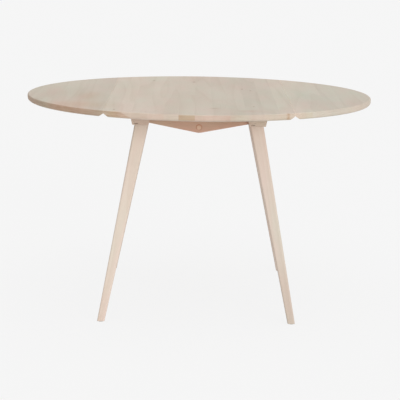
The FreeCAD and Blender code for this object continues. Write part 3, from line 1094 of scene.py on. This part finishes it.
@dataclass
class LegFrame:
    """Legs, bearers, V-shaped aprons, rod and glides."""

    leg_pale: Rgb
    leg_dark: Rgb
    leg_looks: Mapping[str, LegLook]
    bearer_wood: Wood
    apron_wood: Wood
    rod_wood: Wood
    glide: Nylon
    leg_section: Pair = (0.035, 0.027)

    def leg_grain(self, corner: str) -> Triple:
        """Direction of a leg.

        Args:
            corner: Name of the leg's corner.

        Returns:
            Unit direction from the foot to the top.
        """
        low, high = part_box("leg_" + corner)
        side = 1 if corner.endswith("right") else -1
        end = 1 if corner.startswith("rear") else -1
        wide, deep = self.leg_section
        lean_x = (high.x - low.x - wide) * -side
        lean_y = (high.y - low.y - deep) * -end
        return tuple(Vector((lean_x, lean_y, high.z - low.z)).normalized())

    def build(self) -> None:
        """Dress every piece of the frame, the wooden ones along their own grain."""
        for corner, look in self.leg_looks.items():
            wood = LegWood("leg_wood_" + corner, self.leg_grain(corner), self.leg_pale, self.leg_dark,
                           seed=look.seed, tone=look.tone, fade=look.fade)
            dress("leg_" + corner, wood.material())
        bearer = self.bearer_wood.material()
        for side in SIDES:
            dress("bearer_" + side, bearer)
        apron = self.apron_wood.material()
        for end in ENDS:
            dress("apron_" + end, apron)
        rod = self.rod_wood.material()
        for node in ("stretcher_rod", "apron_dowels"):
            dress(node, rod)
        dress("foot_glides", self.glide.material())


@dataclass
class HingeSet:
    """Six butt hinges with their pins and screws."""

    finish: bpy.types.Material
    screw_finish: bpy.types.Material
    screw: ScrewSize = ScrewSize(head=0.0054, shank=0.0028, length=0.009, recess=0.0031, blade=0.0007)

    def build(self, screws: ScrewTree) -> None:
        """Dress the plates and pins and make the screws.

        Args:
            screws: Tree of the countersunk screws.
        """
        for side in SIDES:
            for place in PLACES:
                dress(f"hinge_fixed_{side}_{place}", self.finish)
                dress(f"hinge_leaf_{side}_{place}", self.finish)
            dress("hinge_pins_" + side, self.screw_finish)
            tilted = [seat for seat in screw_seats(f"leaf_{side}_screws") if not seat.upright]
            set_fasteners(f"leaf_{side}_hinge_screws", screws, tilted, self.screw.inputs(),
                          self.screw_finish, "leaf_" + side, f"leaf_{side}_screws")
        set_fasteners("panel_hinge_screws", screws, screw_seats("hinge_fixed_screws"),
                      self.screw.inputs(), self.screw_finish, "frame", "hinge_fixed_screws")


@dataclass
class StaySet:
    """Four sliding stays with their brackets, arms, pins and screws."""

    finish: bpy.types.Material
    screw_finish: bpy.types.Material
    screw: ScrewSize = ScrewSize()

    def build(self, screws: ScrewTree, pins: PinTree) -> None:
        """Dress brackets and arms and make the screws, rivets and studs.

        Args:
            screws: Tree of the countersunk screws.
            pins: Tree of the headed pins.
        """
        for corner in CORNERS:
            for piece in ("bracket_fixed", "bracket_leaf", "arm_inner", "arm_outer"):
                dress(f"stay_{piece}_{corner}", self.finish)
            node = "stay_stud_" + corner
            set_fasteners("stud_" + corner, pins, pin_seats(node), {}, self.screw_finish,
                          "stay_inner_" + corner, node)
        for place, body in (("fixed", "frame"), ("left", "leaf_left"), ("right", "leaf_right")):
            node = "stay_rivets_" + place
            set_fasteners("rivets_" + place, pins, pin_seats(node), {}, self.screw_finish, body, node)
        set_fasteners("panel_stay_screws", screws, screw_seats("stay_screws_fixed"),
                      self.screw.inputs(), self.screw_finish, "frame", "stay_screws_fixed")
        for side in SIDES:
            upright = [seat for seat in screw_seats(f"leaf_{side}_screws") if seat.upright]
            set_fasteners(f"leaf_{side}_stay_screws", screws, upright, self.screw.inputs(),
                          self.screw_finish, "leaf_" + side, f"leaf_{side}_screws")


@dataclass
class BearerScrews:
    """Long screws that hold the middle board to the bearers."""

    finish: bpy.types.Material
    screw: ScrewSize = ScrewSize(head=0.009, shank=0.0045, length=0.033, recess=0.005, blade=0.0011)

    def build(self, screws: ScrewTree) -> None:
        """Make the screws."""
        set_fasteners("panel_bearer_screws", screws, screw_seats("bearer_screws"),
                      self.screw.inputs(), self.finish, "frame", "bearer_screws")


@dataclass(frozen=True)
class Lamp:
    """A broad lamp far off: its strength, height, swing to the right and width, in degrees."""

    name: str
    strength: float
    elevation: float
    azimuth: float
    spread: float

    def hang(self) -> None:
        """Put the lamp in the scene."""
        data = bpy.data.lights.new(self.name, "SUN")
        data.energy = self.strength
        data.angle = math.radians(self.spread)
        item = bpy.data.objects.new(self.name, data)
        bpy.context.scene.collection.objects.link(item)
        rise = math.radians(self.elevation)
        swing = math.radians(self.azimuth)
        level = math.cos(rise)
        source = Vector((math.sin(swing) * level, -math.cos(swing) * level, math.sin(rise)))
        item.rotation_euler = source.to_track_quat("Z", "Y").to_euler()


@dataclass
class Studio:
    """Pale floor, even sky and soft lamps from the front right and from above."""

    page: Rgb = (246, 246, 246)
    sky_level: float = 0.62
    lamps: tuple[Lamp, ...] = (
        Lamp("front_lamp", strength=1.9, elevation=8.0, azimuth=28.0, spread=35.0),
        Lamp("overhead_lamp", strength=0.8, elevation=78.0, azimuth=40.0, spread=80.0))
    floor_bounce: float = 0.82
    shadow_share: float = 0.08
    floor_half: float = 60.0
    floor_level: float = -0.0002

    def seen(self, graph: Graph) -> Field:
        """Mask of the rays that look straight at the page or mirror it."""
        path = graph.node("ShaderNodeLightPath", None, None, "Is Camera Ray")
        return graph.clamp(path + path.output("Is Glossy Ray") + path.output("Is Transmission Ray"))

    def floor_material(self) -> bpy.types.Material:
        """Build the floor's finish.

        Returns:
            A pale matt surface that keeps a faint shadow.
        """
        material, graph = new_material("studio_floor")
        material.cycles.emission_sampling = "NONE"
        page = graph.node("ShaderNodeEmission", None, {"Color": linear(self.page), "Strength": 1.0})
        shade = graph.node("ShaderNodeBsdfDiffuse", None, {"Color": linear(self.page)})
        lit = graph.node("ShaderNodeMixShader", None, {0: self.shadow_share, 1: page, 2: shade})
        bounce = graph.node("ShaderNodeBsdfDiffuse", None, {"Color": grey(self.floor_bounce)})
        both = graph.node("ShaderNodeMixShader", None, {0: self.seen(graph), 1: bounce, 2: lit})
        graph.node("ShaderNodeOutputMaterial", None, {"Surface": both})
        return material

    def light_sky(self) -> None:
        """Light evenly from all sides, with a sky that looks like the page where it is seen."""
        world = bpy.data.worlds.new("studio_sky")
        world.use_nodes = True
        bpy.context.scene.world = world
        graph = Graph(world.node_tree)
        light = graph.node("ShaderNodeBackground", None, {"Color": grey(1.0), "Strength": self.sky_level})
        page = graph.node("ShaderNodeBackground", None, {"Color": linear(self.page), "Strength": 1.0})
        both = graph.node("ShaderNodeMixShader", None, {0: self.seen(graph), 1: light, 2: page})
        graph.node("ShaderNodeOutputWorld", None, {"Surface": both})

    def build(self) -> None:
        """Lay the floor, light the sky and hang the lamps."""
        mesh = bpy.data.meshes.new("studio_floor")
        reach = self.floor_half
        corners = [(-reach, -reach), (reach, -reach), (reach, reach), (-reach, reach)]
        mesh.from_pydata([(x, y, self.floor_level) for x, y in corners], [], [(0, 1, 2, 3)])
        mesh.materials.append(self.floor_material())
        floor = bpy.data.objects.new("studio_floor", mesh)
        bpy.context.scene.collection.objects.link(floor)
        self.light_sky()
        for lamp in self.lamps:
            lamp.hang()


@dataclass
class View:
    """Camera at the photograph's place: metres, radians and the focal length in image widths."""

    place: Triple = (-0.0111, -5.0052, 1.3667)
    yaw: float = 0.0039
    pitch: float = 0.2003
    roll: float = 0.0160
    focal_share: float = 3.5489
    sensor: float = 36.0
    reach: float = 200.0

    def build(self) -> None:
        """Set up the camera."""
        data = bpy.data.cameras.new("view")
        data.sensor_fit = "HORIZONTAL"
        data.sensor_width = self.sensor
        data.lens = self.focal_share * self.sensor
        data.clip_end = self.reach
        camera = bpy.data.objects.new("view", data)
        bpy.context.scene.collection.objects.link(camera)
        forward = Vector((math.sin(self.yaw) * math.cos(self.pitch),
                          math.cos(self.yaw) * math.cos(self.pitch), -math.sin(self.pitch)))
        right = Vector((math.cos(self.yaw), -math.sin(self.yaw), 0.0))
        up = right.cross(forward)
        turned_right = right * math.cos(self.roll) + up * math.sin(self.roll)
        turned_up = up * math.cos(self.roll) - right * math.sin(self.roll)
        axes = Matrix((turned_right, turned_up, -forward)).transposed().to_4x4()
        camera.matrix_world = Matrix.Translation(Vector(self.place)) @ axes
        bpy.context.scene.camera = camera


TOP_STAVES = (
    Stave(-0.605, 0.940, StaveEnd.PALE), Stave(-0.540, 0.955, StaveEnd.PALE),
    Stave(-0.482, 0.945, StaveEnd.PALE), Stave(-0.424, 0.925, StaveEnd.PALE),
    Stave(-0.366, 0.910, StaveEnd.PALE), Stave(-0.310, 1.005, StaveEnd.PALE),
    Stave(-0.262, 1.035, StaveEnd.PALE), Stave(-0.222, 1.010, StaveEnd.PALE),
    Stave(-0.166, 1.010, StaveEnd.FAIR), Stave(-0.116, 0.985, StaveEnd.WHITE),
    Stave(-0.068, 0.990, StaveEnd.DUSK), Stave(-0.016, 0.970, StaveEnd.PINK),
    Stave(0.040, 0.950, StaveEnd.PINK), Stave(0.096, 0.940, StaveEnd.FAIR),
    Stave(0.150, 0.905, StaveEnd.FAIR), Stave(0.204, 0.935, StaveEnd.FAIR),
    Stave(0.256, 0.995, StaveEnd.PALE), Stave(0.310, 1.020, StaveEnd.PALE),
    Stave(0.368, 1.000, StaveEnd.COOL), Stave(0.426, 0.955, StaveEnd.COOL),
    Stave(0.484, 0.925, StaveEnd.WHITE), Stave(0.542, 0.910, StaveEnd.WHITE),
)
TOP_BLUSHES = (
    Blush((-0.379, -0.110), (0.075, 0.200), (247, 236, 228)),
    Blush((-0.400, -0.330), (0.170, 0.150), (250, 240, 230)),
    Blush((0.400, -0.100), (0.150, 0.550), (247, 254, 255)),
    Blush((-0.277, -0.442), (0.006, 0.022), (222, 204, 192)),
    Blush((-0.172, 0.377), (0.008, 0.022), (222, 208, 198)),
    Blush((-0.020, 0.347), (0.010, 0.026), (218, 204, 194)),
    Blush((0.155, 0.150), (0.006, 0.024), (222, 204, 192)),
    Blush((0.185, 0.110), (0.005, 0.022), (226, 210, 198)),
    Blush((0.181, -0.322), (0.005, 0.018), (228, 212, 200)),
    Blush((0.050, -0.379), (0.024, 0.018), (240, 233, 227)),
    Blush((0.170, -0.432), (0.065, 0.045), (252, 243, 241)),
    Blush((0.287, -0.478), (0.009, 0.016), (238, 224, 210)),
    Blush((-0.278, -0.482), (0.050, 0.014), (255, 247, 238)),
)
LEG_LOOKS = {
    "front_left": LegLook(tone=0.91, seed=8.8, fade=0.0),
    "front_right": LegLook(tone=0.83, seed=9.5, fade=0.2),
    "rear_left": LegLook(tone=0.90, seed=7.9, fade=0.0),
    "rear_right": LegLook(tone=0.88, seed=11.0, fade=0.1),
}
ALONG_X = (1.0, 0.0, 0.0)
ALONG_Y = (0.0, 1.0, 0.0)


def build_top() -> None:
    """Dress the oval top."""
    joint_place = (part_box("centre_panel")[1].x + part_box("leaf_right")[0].x) / 2
    wood = StaveWood("top_wood", ALONG_Y, (205, 193, 178), (183, 166, 148),
                     rings=Noise((12.0, 12.0, 0.9), 1.0, 0.4), ring_count=5.0,
                     half_length=CAD_BOX[1][0], staves=TOP_STAVES, blushes=TOP_BLUSHES,
                     rim_levels=(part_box("leaf_left")[0].z, CAD_BOX[1][2]), joint_place=joint_place)
    OvalTop(wood).build()


def build_frame() -> None:
    """Dress the legs and what joins them."""
    bearer_wood = Wood("bearer_wood", ALONG_Y, (203, 182, 165), (176, 150, 129), seed=5.3)
    low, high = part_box("stretcher_rod")
    apron_wood = ApronWood("apron_wood", ALONG_X, (190, 159, 136), (160, 124, 99), seed=7.9, drift=0.3,
                           rod_centre=((low.x + high.x) / 2, (low.z + high.z) / 2),
                           rod_radius=(high.x - low.x) / 2)
    rod_wood = Wood("rod_wood", ALONG_Y, (209, 178, 153), (181, 144, 118), seed=2.2)
    LegFrame((224, 208, 194), (198, 175, 155), LEG_LOOKS, bearer_wood, apron_wood, rod_wood,
             Nylon("glide_nylon")).build()


def build_fittings() -> None:
    """Dress the hinges and stays and make all fasteners."""
    steel = Steel("zinc_plated_steel").material()
    bright = Steel("bright_screw_steel", colour=(214, 208, 194), roughness=0.24).material()
    screws = ScrewTree()
    HingeSet(steel, bright).build(screws)
    StaySet(steel, bright).build(screws, PinTree())
    BearerScrews(bright).build(screws)


def main() -> None:
    """Build every sub-assembly, the studio and the camera."""
    logging.basicConfig(level=logging.INFO, format="%(name)s: %(message)s")
    bpy.context.scene.view_settings.view_transform = "Standard"
    build_top()
    build_frame()
    build_fittings()
    Studio().build()
    View().build()


if __name__ == "__main__":
    main()
